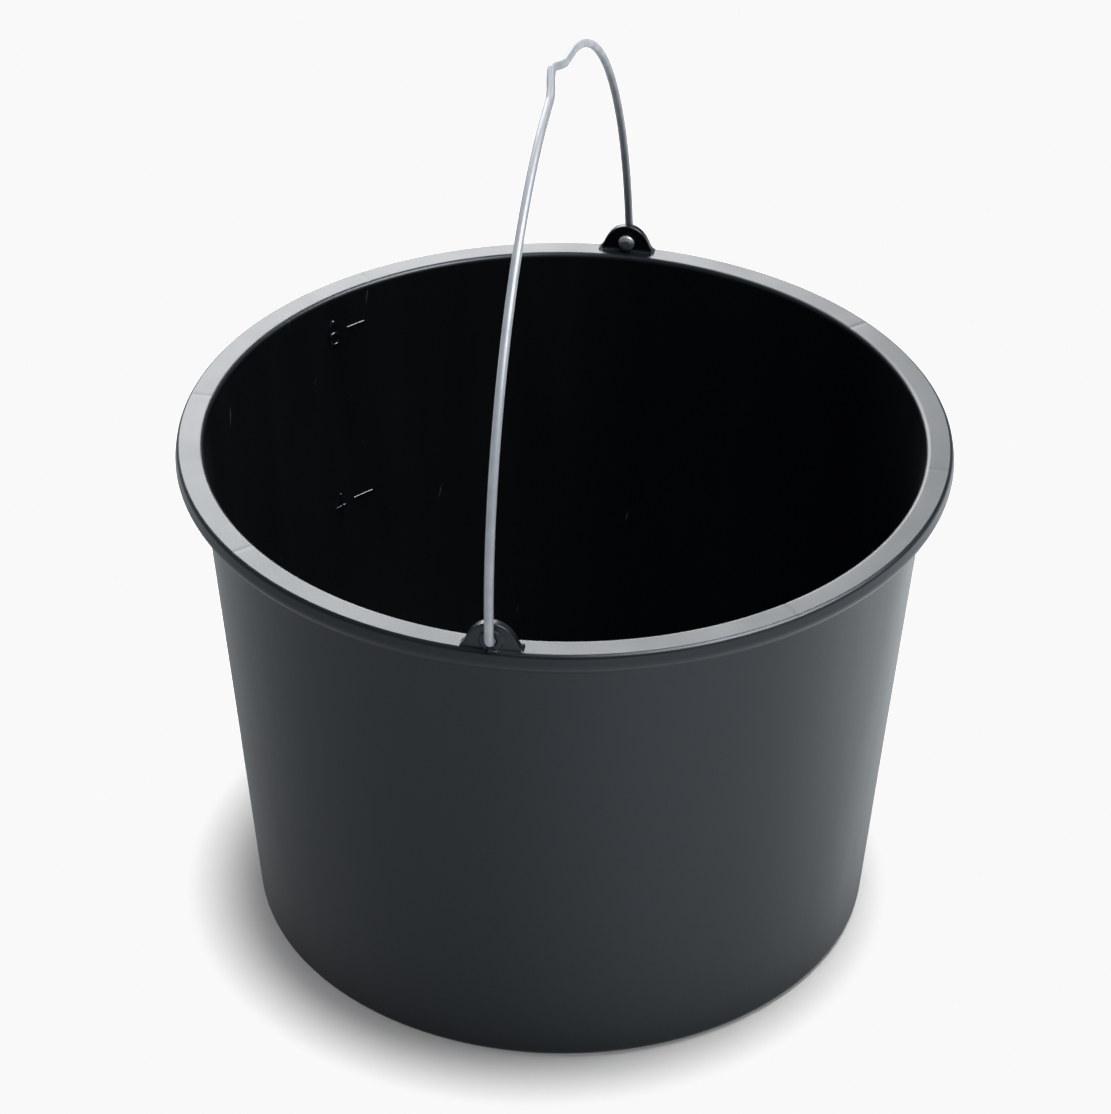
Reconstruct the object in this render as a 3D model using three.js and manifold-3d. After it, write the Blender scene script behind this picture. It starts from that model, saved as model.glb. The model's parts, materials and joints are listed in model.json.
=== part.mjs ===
// A round moulded bucket with a flanged rim, two ears and a swinging wire bail.
// Millimetres, +Z up. The origin is the centre of the base, on the ground.
// The two ears stand on the rim at +Y and -Y, so the bail swings about the Y direction.

import * as THREE from 'three';
import { mergeVertices } from 'three/addons/utils/BufferGeometryUtils.js';
import Module from 'manifold-3d';

const wasm = await Module();
wasm.setup();

// Driving dimensions of the moulding.
const HEIGHT = 181;
const RIM_RADIUS = 130;
const BASE_RADIUS = 107.4;
const WALL = 2;
const FLOOR = 2.2;
const MOUTH_RADIUS = 122; // inner edge of the flat top of the rim
const BAND_RADIUS = 128.3; // outer edge of the flat top of the rim
const NECK_RADIUS = 122.2; // outside of the wall where it meets the rim
const CURTAIN_DEPTH = 7.5;
const CURTAIN_WALL = 1.7;
const RIM_WIDEST_DROP = 4.6; // how far below the top the rim is widest
const RIM_PLATE = 1.8;
const BASE_CORNER = 3;
const FLOOR_CORNER = 4;
const FOOT_RING = 7; // width of the ring that the bucket stands on
const FOOT_HEIGHT = 1.6;
const ROUND_SEGMENTS = 96;

// Driving dimensions of the ribs under the rim.
const RIB_COUNT = 8;
const RIB_THICKNESS = 1.2;
const RIB_DEPTH = 5.2;

// Driving dimensions of the ears.
const EAR_INNER = 125; // distance of the ear's inner face from the middle of the bucket
const EAR_THICKNESS = 3;
const EAR_HEIGHT = 9;
const EAR_HALF_WIDTH = 10.6;
const EAR_TOP_RADIUS = 7;
const BOSS_RADIUS = 3.7;
const BOSS_HEIGHT = 0.5;
const GUSSET = { width: 1.3, length: 2.8, height: 1.6, offset: 9.9 };

// Driving dimensions of the bail.
const WIRE_RADIUS = 1.5;
const PIVOT_ABOVE_RIM = 3.4;
const PIVOT_Z = HEIGHT + PIVOT_ABOVE_RIM;
const BORE_RADIUS = WIRE_RADIUS + 0.35;
const LEG_RADIUS = 131; // distance of the legs from the middle of the bucket
const ARCH_HEIGHT = 127.6; // from the pivot to the arch at its middle, without the notch
const ARCH_DROP = 4; // the arch's ellipse is centred this far below the pivot
const ARCH_EXPONENT = 1.88; // 2 would be a plain ellipse; less is more pointed
const BEND_RADIUS = 3.2;
const NOTCH_HALF_WIDTH = 13;
const NOTCH_HEIGHT = 5;
const NOTCH_TOP_HALF_WIDTH = 3;
const LEAN = THREE.MathUtils.degToRad(-1.3); // the bail's lean from plumb, towards -X
const HEAD_RADIUS = 2.9;
const HEAD_THICKNESS = 1.7;
const HEAD_GAP = 0.35;
const WIRE_SIDES = 10;

// Driving dimensions of the raised scale marks inside the wall.
const MARK_RELIEF = 0.4;
const MARK_EMBED = 0.4; // how far a mark reaches into the wall, so that it is one with it
const STROKE = 0.9;
const DIGIT_HEIGHT = 10;
const DIGIT_WIDTH = 5.4;
const UPPER_MARK = { digit: 'six', belowRim: 13.7, tickAzimuth: 138.9, tickLength: 8.2 };
const LOWER_MARK = { digit: 'four', belowRim: 81.7, tickAzimuth: 140.2, tickLength: 9.2 };
const DIGIT_STEP = 9.3; // from the middle of the tick to the middle of its digit

const blackPlastic = new THREE.MeshStandardMaterial({
  name: 'black_polypropylene', color: 0x2a2d30, roughness: 0.42, metalness: 0,
});
const zincWire = new THREE.MeshStandardMaterial({
  name: 'galvanised_wire', color: 0xaab0b8, roughness: 0.35, metalness: 1,
});

const taper = (NECK_RADIUS - BASE_RADIUS) / (HEIGHT - RIM_PLATE);
const outerRadius = (z) => BASE_RADIUS + taper * z;
const innerRadius = (z) => outerRadius(z) - WALL;

// Turns a three.js geometry into a manifold solid with shared vertices and no empty triangles.
function toSolid(geometry) {
  const bare = geometry.clone();
  bare.deleteAttribute('normal');
  bare.deleteAttribute('uv');
  const merged = mergeVertices(bare, 1e-4);
  const index = Array.from(merged.index.array);
  const triangles = [];
  for (let i = 0; i < index.length; i += 3) {
    const [a, b, c] = index.slice(i, i + 3);
    if (a !== b && b !== c && c !== a) {
      triangles.push(a, b, c);
    }
  }
  const mesh = new wasm.Mesh({
    numProp: 3,
    vertProperties: new Float32Array(merged.attributes.position.array),
    triVerts: new Uint32Array(triangles),
  });
  return new wasm.Manifold(mesh);
}

// Turns a manifold solid back into a three.js geometry.
function toGeometry(solid) {
  const mesh = solid.getMesh();
  const geometry = new THREE.BufferGeometry();
  geometry.setAttribute('position', new THREE.BufferAttribute(mesh.vertProperties, 3));
  geometry.setIndex(new THREE.BufferAttribute(mesh.triVerts, 1));
  geometry.computeVertexNormals();
  return geometry;
}

// A quarter round or other arc, as profile points from one angle to another, in degrees.
function arc(centreR, centreZ, radius, from, to, steps) {
  const points = [];
  for (let i = 0; i <= steps; i += 1) {
    const angle = THREE.MathUtils.degToRad(from + (to - from) * (i / steps));
    points.push(new THREE.Vector2(centreR + radius * Math.cos(angle), centreZ + radius * Math.sin(angle)));
  }
  return points;
}

// The wall, floor and rim as one closed profile, turned about the vertical axis.
function shell() {
  const topOfWall = HEIGHT - RIM_PLATE;
  const curtainFoot = HEIGHT - CURTAIN_DEPTH;
  const lip = MOUTH_RADIUS - innerRadius(HEIGHT);
  const floorWall = innerRadius(FOOT_HEIGHT + FLOOR + FLOOR_CORNER);
  const profile = [
    new THREE.Vector2(0, FOOT_HEIGHT),
    new THREE.Vector2(BASE_RADIUS - FOOT_RING - FOOT_HEIGHT, FOOT_HEIGHT),
    new THREE.Vector2(BASE_RADIUS - FOOT_RING, 0),
    ...arc(outerRadius(BASE_CORNER) - BASE_CORNER, BASE_CORNER, BASE_CORNER, -90, 0, 4),
    new THREE.Vector2(NECK_RADIUS, topOfWall),
    new THREE.Vector2(BAND_RADIUS - CURTAIN_WALL, topOfWall),
    new THREE.Vector2(RIM_RADIUS - CURTAIN_WALL, HEIGHT - RIM_WIDEST_DROP),
    new THREE.Vector2(BAND_RADIUS - CURTAIN_WALL + 0.4, curtainFoot),
    new THREE.Vector2(BAND_RADIUS - 0.2, curtainFoot),
    new THREE.Vector2(RIM_RADIUS - 0.3, HEIGHT - RIM_WIDEST_DROP - 1.4),
    new THREE.Vector2(RIM_RADIUS, HEIGHT - RIM_WIDEST_DROP),
    new THREE.Vector2(RIM_RADIUS - 0.2, HEIGHT - 2.4),
    ...arc(BAND_RADIUS, HEIGHT - 1.2, 1.2, 0, 90, 3),
    new THREE.Vector2(MOUTH_RADIUS, HEIGHT),
    ...arc(MOUTH_RADIUS, HEIGHT - lip, lip, 120, 180, 2),
    ...arc(floorWall - FLOOR_CORNER, FOOT_HEIGHT + FLOOR + FLOOR_CORNER, FLOOR_CORNER, 0, -90, 4),
    new THREE.Vector2(0, FOOT_HEIGHT + FLOOR),
  ];
  const turned = new THREE.LatheGeometry(profile, ROUND_SEGMENTS);
  turned.rotateX(Math.PI / 2);
  return toSolid(turned);
}

// One upright radial rib in the channel under the rim.
function rimRib(azimuth) {
  const top = HEIGHT - RIM_PLATE / 2;
  const inner = NECK_RADIUS - WALL / 2;
  const outer = BAND_RADIUS - CURTAIN_WALL / 2;
  const rib = new THREE.BoxGeometry(outer - inner, RIB_THICKNESS, RIB_DEPTH + RIM_PLATE / 2);
  rib.translate((inner + outer) / 2, 0, top - (RIB_DEPTH + RIM_PLATE / 2) / 2);
  rib.rotateZ(azimuth);
  return toSolid(rib);
}

// An upright plate with sloping sides and a round top, a round boss on its outer face and a
// small gusset at each end. It is drawn on the +Y side and turned about Z.
function ear(turn) {
  const root = RIM_PLATE / 2;
  const centreZ = EAR_HEIGHT - EAR_TOP_RADIUS;
  const reach = Math.hypot(EAR_HALF_WIDTH, centreZ);
  const tangentAngle = Math.acos(EAR_TOP_RADIUS / reach) - Math.atan2(centreZ, EAR_HALF_WIDTH);
  const outline = new THREE.Shape();
  outline.moveTo(EAR_HALF_WIDTH, -root);
  outline.lineTo(EAR_HALF_WIDTH, 0);
  outline.absarc(0, centreZ, EAR_TOP_RADIUS, tangentAngle, Math.PI - tangentAngle, false);
  outline.lineTo(-EAR_HALF_WIDTH, 0);
  outline.lineTo(-EAR_HALF_WIDTH, -root);
  const plate = new THREE.ExtrudeGeometry(outline, {
    depth: EAR_THICKNESS, bevelEnabled: false, curveSegments: 14,
  });
  // The outline stands up and the thickness runs towards -Y from the outer face.
  plate.rotateX(Math.PI / 2);
  plate.translate(0, EAR_INNER + EAR_THICKNESS, HEIGHT);
  const boss = new THREE.CylinderGeometry(BOSS_RADIUS, BOSS_RADIUS, 2 * BOSS_HEIGHT, 24);
  boss.translate(0, EAR_INNER + EAR_THICKNESS, PIVOT_Z);
  let solid = toSolid(plate.rotateZ(turn)).add(toSolid(boss.rotateZ(turn)));
  for (const side of [-1, 1]) {
    const gusset = new THREE.BoxGeometry(GUSSET.width, GUSSET.length + 0.4, GUSSET.height + root);
    gusset.translate(
      side * GUSSET.offset,
      EAR_INNER - (GUSSET.length - 0.4) / 2,
      HEIGHT + (GUSSET.height - root) / 2,
    );
    solid = solid.add(toSolid(gusset.rotateZ(turn)));
  }
  return solid;
}

// The hole for the wire, through an ear and its boss.
function earBore(turn) {
  const bore = new THREE.CylinderGeometry(BORE_RADIUS, BORE_RADIUS, 4 * EAR_THICKNESS, 20);
  bore.translate(0, EAR_INNER + EAR_THICKNESS / 2, PIVOT_Z);
  bore.rotateZ(turn);
  return toSolid(bore);
}

// A digit 4 from three straight strokes, as outlines in a plane. The origin is its middle.
function digitFour() {
  const half = STROKE / 2;
  const stemX = DIGIT_WIDTH / 2 - 1.6;
  const barY = -DIGIT_HEIGHT / 2 + 3;
  const tip = new THREE.Vector2(stemX, DIGIT_HEIGHT / 2 - half);
  const foot = new THREE.Vector2(-DIGIT_WIDTH / 2, barY);
  const slope = tip.clone().sub(foot).normalize().multiplyScalar(half);
  const across = new THREE.Vector2(-slope.y, slope.x);
  return [
    [[stemX - half, -DIGIT_HEIGHT / 2], [stemX + half, -DIGIT_HEIGHT / 2],
      [stemX + half, DIGIT_HEIGHT / 2], [stemX - half, DIGIT_HEIGHT / 2]],
    [[-DIGIT_WIDTH / 2, barY - half], [DIGIT_WIDTH / 2, barY - half],
      [DIGIT_WIDTH / 2, barY + half], [-DIGIT_WIDTH / 2, barY + half]],
    [[foot.x - across.x, foot.y - across.y], [tip.x - across.x, tip.y - across.y],
      [tip.x + across.x, tip.y + across.y], [foot.x + across.x, foot.y + across.y]],
  ].map((corners) => new THREE.Shape(corners.map(([x, y]) => new THREE.Vector2(x, y))));
}

// A digit 6 as a ring below and a curved stroke that rises from the ring's left side.
function digitSix() {
  const ringRadius = DIGIT_WIDTH / 2;
  const ringY = -DIGIT_HEIGHT / 2 + ringRadius;
  const ring = new THREE.Shape().absarc(0, ringY, ringRadius, 0, 2 * Math.PI, false);
  ring.holes.push(new THREE.Path().absarc(0, ringY, ringRadius - STROKE, 0, 2 * Math.PI, true));
  const sweep = DIGIT_HEIGHT / 2 - ringY;
  const back = new THREE.Shape();
  back.absellipse(0, ringY, ringRadius, sweep, Math.PI, 0.28 * Math.PI, true, 0);
  back.absellipse(0, ringY, ringRadius - STROKE, sweep - STROKE, 0.3 * Math.PI, Math.PI, false, 0);
  return [ring, back];
}

// Lays a flat outline on the inside of the wall, raised by the relief, at an azimuth and height.
function onWall(shape, azimuth, z) {
  const raised = new THREE.ExtrudeGeometry(shape, {
    depth: MARK_RELIEF + MARK_EMBED, bevelEnabled: false, curveSegments: 7,
  });
  const angle = THREE.MathUtils.degToRad(azimuth);
  const inward = new THREE.Vector3(-Math.cos(angle), -Math.sin(angle), taper).normalize();
  const up = new THREE.Vector3(Math.cos(angle) * taper, Math.sin(angle) * taper, 1).normalize();
  const right = new THREE.Vector3().crossVectors(up, inward);
  const radius = innerRadius(z) + MARK_EMBED;
  const place = new THREE.Matrix4().makeBasis(right, up, inward);
  place.setPosition(radius * Math.cos(angle), radius * Math.sin(angle), z);
  raised.applyMatrix4(place);
  return toSolid(raised);
}

// A tick with its digit on its left, as seen from inside the bucket.
function scaleMark({ digit, belowRim, tickAzimuth, tickLength }) {
  const z = HEIGHT - belowRim;
  const tick = new THREE.Shape([
    new THREE.Vector2(-tickLength / 2, -STROKE / 2),
    new THREE.Vector2(tickLength / 2, -STROKE / 2),
    new THREE.Vector2(tickLength / 2, STROKE / 2),
    new THREE.Vector2(-tickLength / 2, STROKE / 2),
  ]);
  let solid = onWall(tick, tickAzimuth, z);
  const digitAzimuth = tickAzimuth + THREE.MathUtils.radToDeg(DIGIT_STEP / innerRadius(z));
  const outlines = digit === 'six' ? digitSix() : digitFour();
  for (const outline of outlines) {
    solid = solid.add(onWall(outline, digitAzimuth, z));
  }
  return solid;
}

function bucketGeometry() {
  let solid = shell();
  for (let i = 0; i < RIB_COUNT; i += 1) {
    solid = solid.add(rimRib(Math.PI / 2 + (2 * Math.PI * i) / RIB_COUNT));
  }
  for (const turn of [0, Math.PI]) {
    solid = solid.add(ear(turn)).subtract(earBore(turn));
  }
  for (const mark of [UPPER_MARK, LOWER_MARK]) {
    solid = solid.add(scaleMark(mark));
  }
  return toGeometry(solid);
}

// A path through given points, with one step of the sweep at each point.
class WirePath extends THREE.Curve {
  constructor(points) {
    super();
    this.points = points;
  }

  getUtoTmapping(u) {
    return u;
  }

  getPoint(t, target = new THREE.Vector3()) {
    const place = t * (this.points.length - 1);
    const i = Math.min(Math.floor(place), this.points.length - 2);
    return target.lerpVectors(this.points[i], this.points[i + 1], place - i);
  }

  getTangent(t, target = new THREE.Vector3()) {
    const last = this.points.length - 1;
    const i = Math.round(t * last);
    const before = this.points[Math.max(i - 1, 0)];
    const after = this.points[Math.min(i + 1, last)];
    return target.subVectors(after, before).normalize();
  }
}

// Half of the bail in its own plane, from the head on the +Y side to the middle: y is the
// distance from the middle of the bucket and z the height above the pivot.
function halfBail() {
  const points = [[EAR_INNER - HEAD_GAP - HEAD_THICKNESS / 2, 0]];
  // The elbow turns from the hole up into the leg.
  for (let i = 0; i <= 6; i += 1) {
    const angle = (i / 6) * (Math.PI / 2);
    points.push([
      LEG_RADIUS - BEND_RADIUS + BEND_RADIUS * Math.sin(angle),
      BEND_RADIUS - BEND_RADIUS * Math.cos(angle),
    ]);
  }
  // The arch is a superellipse, from just above the elbow to the notch.
  const rise = ARCH_HEIGHT + ARCH_DROP;
  const power = 2 / ARCH_EXPONENT;
  const startAngle = Math.asin(((BEND_RADIUS + 3 + ARCH_DROP) / rise) ** (1 / power));
  const endAngle = Math.acos((NOTCH_HALF_WIDTH / LEG_RADIUS) ** (1 / power));
  const steps = 28;
  for (let i = 0; i <= steps; i += 1) {
    const angle = startAngle + (endAngle - startAngle) * (i / steps);
    points.push([
      LEG_RADIUS * Math.cos(angle) ** power,
      rise * Math.sin(angle) ** power - ARCH_DROP,
    ]);
  }
  // The notch for a hook rises in a straight flank with a rounded top.
  const shoulder = points[points.length - 1][1];
  points.push([NOTCH_TOP_HALF_WIDTH, shoulder + 0.8 * NOTCH_HEIGHT]);
  points.push([NOTCH_TOP_HALF_WIDTH / 2, shoulder + 0.96 * NOTCH_HEIGHT]);
  points.push([0, shoulder + NOTCH_HEIGHT]);
  return points;
}

// The domed head that keeps the wire in its ear, on the inner side of the ear.
function wireHead(side) {
  const dome = new THREE.LatheGeometry([
    new THREE.Vector2(0, 0),
    new THREE.Vector2(HEAD_RADIUS, 0),
    new THREE.Vector2(HEAD_RADIUS, HEAD_THICKNESS * 0.4),
    new THREE.Vector2(HEAD_RADIUS * 0.72, HEAD_THICKNESS * 0.85),
    new THREE.Vector2(0, HEAD_THICKNESS),
  ], 18);
  if (side > 0) {
    dome.rotateX(Math.PI);
  }
  dome.translate(0, side * (EAR_INNER - HEAD_GAP), 0);
  return toSolid(dome);
}

function bailGeometry() {
  const half = halfBail();
  const front = half.map(([y, z]) => new THREE.Vector3(0, y, z));
  const back = half.slice(0, -1).reverse().map(([y, z]) => new THREE.Vector3(0, -y, z));
  const path = new WirePath([...front, ...back]);
  const section = new THREE.Shape();
  section.absarc(0, 0, WIRE_RADIUS, 0, 2 * Math.PI, false);
  const wire = new THREE.ExtrudeGeometry(section, {
    steps: path.points.length - 1,
    curveSegments: WIRE_SIDES / 2,
    extrudePath: path,
  });
  const solid = toSolid(wire).add(wireHead(1)).add(wireHead(-1));
  return toGeometry(solid);
}

const bucket = new THREE.Mesh(bucketGeometry(), blackPlastic);
bucket.name = 'bucket';

const bail = new THREE.Mesh(bailGeometry(), zincWire);
bail.name = 'bail';
bail.position.z = PIVOT_Z;
bail.rotation.y = LEAN;

const florist_bucket = new THREE.Group();
florist_bucket.add(bucket, bail);

export default florist_bucket;
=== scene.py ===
"""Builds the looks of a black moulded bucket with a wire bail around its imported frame.

Every length is in metres, in the frame's own axes: +Z up, the middle of the base at the origin, and
the two ears on the rim at +Y and -Y.
"""

import json
import math

import bpy
import numpy as np
from bpy.props import FloatProperty, FloatVectorProperty, IntProperty, PointerProperty
from bpy.types import Operator, Panel, PropertyGroup
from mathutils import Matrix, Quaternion, Vector


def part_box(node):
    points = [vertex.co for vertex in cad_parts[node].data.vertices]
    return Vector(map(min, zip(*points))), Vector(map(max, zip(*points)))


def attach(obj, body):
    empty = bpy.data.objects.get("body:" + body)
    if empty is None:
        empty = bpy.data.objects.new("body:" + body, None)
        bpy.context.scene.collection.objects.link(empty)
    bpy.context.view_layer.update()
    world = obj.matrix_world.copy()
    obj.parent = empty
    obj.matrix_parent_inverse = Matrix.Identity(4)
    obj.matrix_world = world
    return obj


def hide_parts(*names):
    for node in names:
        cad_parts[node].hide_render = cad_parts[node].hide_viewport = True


bl_info = {
    "name": "Moulded bucket",
    "version": (1, 0, 0),
    "blender": (4, 5, 0),
    "location": "3D View > Sidebar > Bucket",
    "description": "Makes a moulded bucket with a wire bail around its packed frame",
    "category": "Add Mesh",
}

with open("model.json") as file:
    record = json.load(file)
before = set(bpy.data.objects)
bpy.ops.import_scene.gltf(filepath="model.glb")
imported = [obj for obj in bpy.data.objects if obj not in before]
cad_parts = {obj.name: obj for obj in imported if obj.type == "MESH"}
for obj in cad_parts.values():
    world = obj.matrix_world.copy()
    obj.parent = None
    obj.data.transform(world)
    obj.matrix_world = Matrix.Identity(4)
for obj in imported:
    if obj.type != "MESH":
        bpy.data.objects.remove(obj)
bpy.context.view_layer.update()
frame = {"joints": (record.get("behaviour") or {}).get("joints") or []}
BUCKET_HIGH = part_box("bucket")[1]
BAIL_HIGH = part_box("bail")[1]
PIVOT_Z = frame["joints"][0]["pos_m"][2]
WIRE_RADIUS = 0.0015
# The frame's ears stand this far above its rim.
EAR_HEIGHT = 0.009
RIM_TOP = BUCKET_HIGH.z - EAR_HEIGHT
# The brightest tone, which the lit floor reaches.
PAPER_WHITE = 0.947


def length(name, default, description):
    """A length that a user may change, in metres."""
    return FloatProperty(name=name, default=default, description=description, unit="LENGTH", precision=5)


def colour(name, default, description):
    """A colour that a user may change."""
    return FloatVectorProperty(
        name=name, default=default, description=description, subtype="COLOR", size=3, min=0, max=1
    )


def amount(name, default, description):
    """A plain number that a user may change."""
    return FloatProperty(name=name, default=default, description=description)


def degrees(name, default, description):
    """An angle that a user may change, given in degrees."""
    default = math.radians(default)
    return FloatProperty(name=name, default=default, description=description, unit="ROTATION")


# ---- What a user may change ----


class MouldingSizes(PropertyGroup):
    """Sizes of the wall, floor and rim."""

    height: length("Height", RIM_TOP, "Height of the rim's flat top")
    rim: length("Rim radius", BUCKET_HIGH.x, "Widest radius of the rim")
    band: length("Band radius", 0.1283, "Outer edge of the rim's flat top")
    mouth: length("Mouth radius", 0.122, "Inner edge of the rim's flat top")
    neck: length("Neck radius", 0.1222, "Outside of the wall under the rim")
    base: length("Base radius", 0.1074, "Outside of the wall at the ground")
    wall: length("Wall", 0.002, "Thickness of the wall")
    plate: length("Rim plate", 0.0018, "Thickness of the rim's flat top")
    curtain: length("Curtain depth", 0.0075, "How far the rim's outer edge hangs down")
    curtain_wall: length("Curtain wall", 0.0017, "Thickness of the rim's outer edge")
    widest: length("Widest below the top", 0.0046, "Where the rim is widest, below its top")
    foot: length("Foot height", 0.0016, "Hollow under the floor inside the foot ring")
    foot_width: length("Foot width", 0.007, "Width of the ring that the bucket stands on")
    floor: length("Floor", 0.0022, "Thickness of the floor")
    steps: IntProperty(name="Steps round", default=296, description="Even steps round the bucket")


class RibSizes(PropertyGroup):
    """Sizes of the ribs under the rim and of the faint sinks above them."""

    count: IntProperty(name="Ribs", default=8, description="Ribs round the rim")
    thickness: length("Thickness", 0.0012, "Thickness of a rib")
    depth: length("Depth", 0.0052, "How far a rib hangs below the rim's plate")
    sink: length("Sink", 0.00009, "Depth of the sink in the rim's top above a rib")
    sink_width: length("Sink width", 0.0008, "Half width of that sink")


class EarSizes(PropertyGroup):
    """Sizes of the two ears."""

    inner: length("Inner face", 0.125, "From the middle of the bucket to the ear's inner face")
    thickness: length("Thickness", 0.003, "Thickness of an ear")
    height: length("Height", EAR_HEIGHT + 0.0006, "Height of an ear above the rim")
    half_width: length("Half width", 0.0102, "Half the width of an ear at the rim")
    crown: length("Crown radius", 0.0070, "Radius of an ear's round top")
    hole: length("Hole radius", 0.00185, "Radius of the hole for the wire")
    boss: length("Boss radius", 0.0037, "Radius of the boss round the hole")
    boss_height: length("Boss height", 0.0004, "How far the boss stands out")
    edge: length("Edge", 0.0005, "Rounding of an ear's edges")
    flare: length("Flare", 0.0009, "Radius of the hollow corner between an ear and the rim")


class ScaleSizes(PropertyGroup):
    """Sizes and places of the raised scale inside the wall."""

    stroke: length("Stroke", 0.00100, "Width of a stroke")
    relief: length("Relief", 0.0006, "How far a stroke stands out of the wall")
    digit_height: length("Digit height", 0.010, "Height of a digit")
    six_width: length("Width of the 6", 0.0054, "Width of the digit 6")
    four_width: length("Width of the 4", 0.0063, "Width of the digit 4")
    gap: length("Gap", 0.0029, "Gap between a tick and its digit")
    upper: length("Upper mark", 0.0137, "Upper mark, below the top of the rim")
    lower: length("Lower mark", 0.0817, "Lower mark, below the top of the rim")
    upper_tick: length("Upper tick", 0.0082, "Length of the upper tick")
    lower_tick: length("Lower tick", 0.0092, "Length of the lower tick")
    upper_azimuth: degrees("Upper azimuth", 138.9, "Where the upper tick is")
    lower_azimuth: degrees("Lower azimuth", 140.2, "Where the lower tick is")


class BailSizes(PropertyGroup):
    """Sizes of the wire bail."""

    wire: length("Wire radius", WIRE_RADIUS, "Radius of the wire")
    leg: length("Leg radius", BAIL_HIGH.y - WIRE_RADIUS, "From the bucket's middle to a leg's middle")
    arch: length("Arch height", 0.1276, "From the pivot to the top of the arch, without its notch")
    drop: length("Arch drop", 0.004, "How far the arch's ellipse is centred below the pivot")
    exponent: amount("Arch exponent", 1.88, "2 is an ellipse, and less is more pointed")
    bend: length("Elbow radius", 0.0032, "Radius of the elbow at an ear")
    notch_half: length("Notch half width", 0.013, "Half the width of the hook notch")
    notch_rise: length("Notch rise", 0.0045, "Height of the hook notch")
    notch_side: length("Notch set", -0.0016, "How far the notch's top is bent out of the bail's plane")
    lean: degrees("Lean", -1.55, "The bail's lean from plumb")
    head: length("Head radius", 0.0029, "Radius of the domed heads")
    head_thickness: length("Head thickness", 0.0017, "Thickness of the domed heads")
    head_gap: length("Head gap", 0.00035, "Gap between a head and its ear")


class PlasticFinish(PropertyGroup):
    """Colours and gloss of the black plastic."""

    base: colour("Base", (0.0018, 0.0028, 0.0042), "Colour of the plastic")
    bloom: colour("Bloom", (0.0040, 0.0054, 0.0072), "Colour of the paler flow marks")
    sheen: colour("Reflection tint", (0.86, 0.94, 1.0), "Tint of the plastic's reflections")
    reflection: amount("Reflection", 0.25, "Strength of reflections seen straight on, 0.5 for plain plastic")
    scuff: colour("Scuff", (0.16, 0.165, 0.175), "Colour of rubbed marks")
    roughness: amount("Roughness", 0.34, "Roughness of the smooth skin")
    grain: amount("Grain", 0.10, "Strength of the fine grain")
    mark_roughness: amount("Mark roughness", 0.18, "Roughness of the raised scale")
    mark_reflection: amount("Mark reflection", 0.5, "Strength of reflections on the raised scale")
    mark_grain: amount("Mark grain", 0.015, "Strength of the fine grain on the raised scale")
    grain_scale: amount("Grain scale", 1500.0, "Fineness of the grain")
    flow: amount("Flow marks", 0.35, "Strength of the paler flow marks")
    flow_roughness: amount("Flow roughness", 0.07, "How much rougher the flow marks are")
    scuff_roughness: amount("Scuff roughness", 0.25, "How much rougher the rubbed marks are")
    scuff_level: amount("Scuff level", 0.56, "Higher for fewer patches of rubbed marks")


class ZincFinish(PropertyGroup):
    """Colours and gloss of the galvanised wire."""

    bright: colour("Bright", (0.19, 0.206, 0.228), "Colour of the clean zinc")
    dull: colour("Dull", (0.14, 0.154, 0.175), "Colour of the dull zinc")
    roughness: amount("Roughness", 0.38, "Roughness of the clean zinc")
    dull_roughness: amount("Dull roughness", 0.16, "How much rougher the dull zinc is")
    metal: amount("Metal", 0.3, "Share of metal, with the rest dull zinc oxide")
    bump: amount("Bump", 0.25, "Strength of the fine unevenness")


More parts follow.
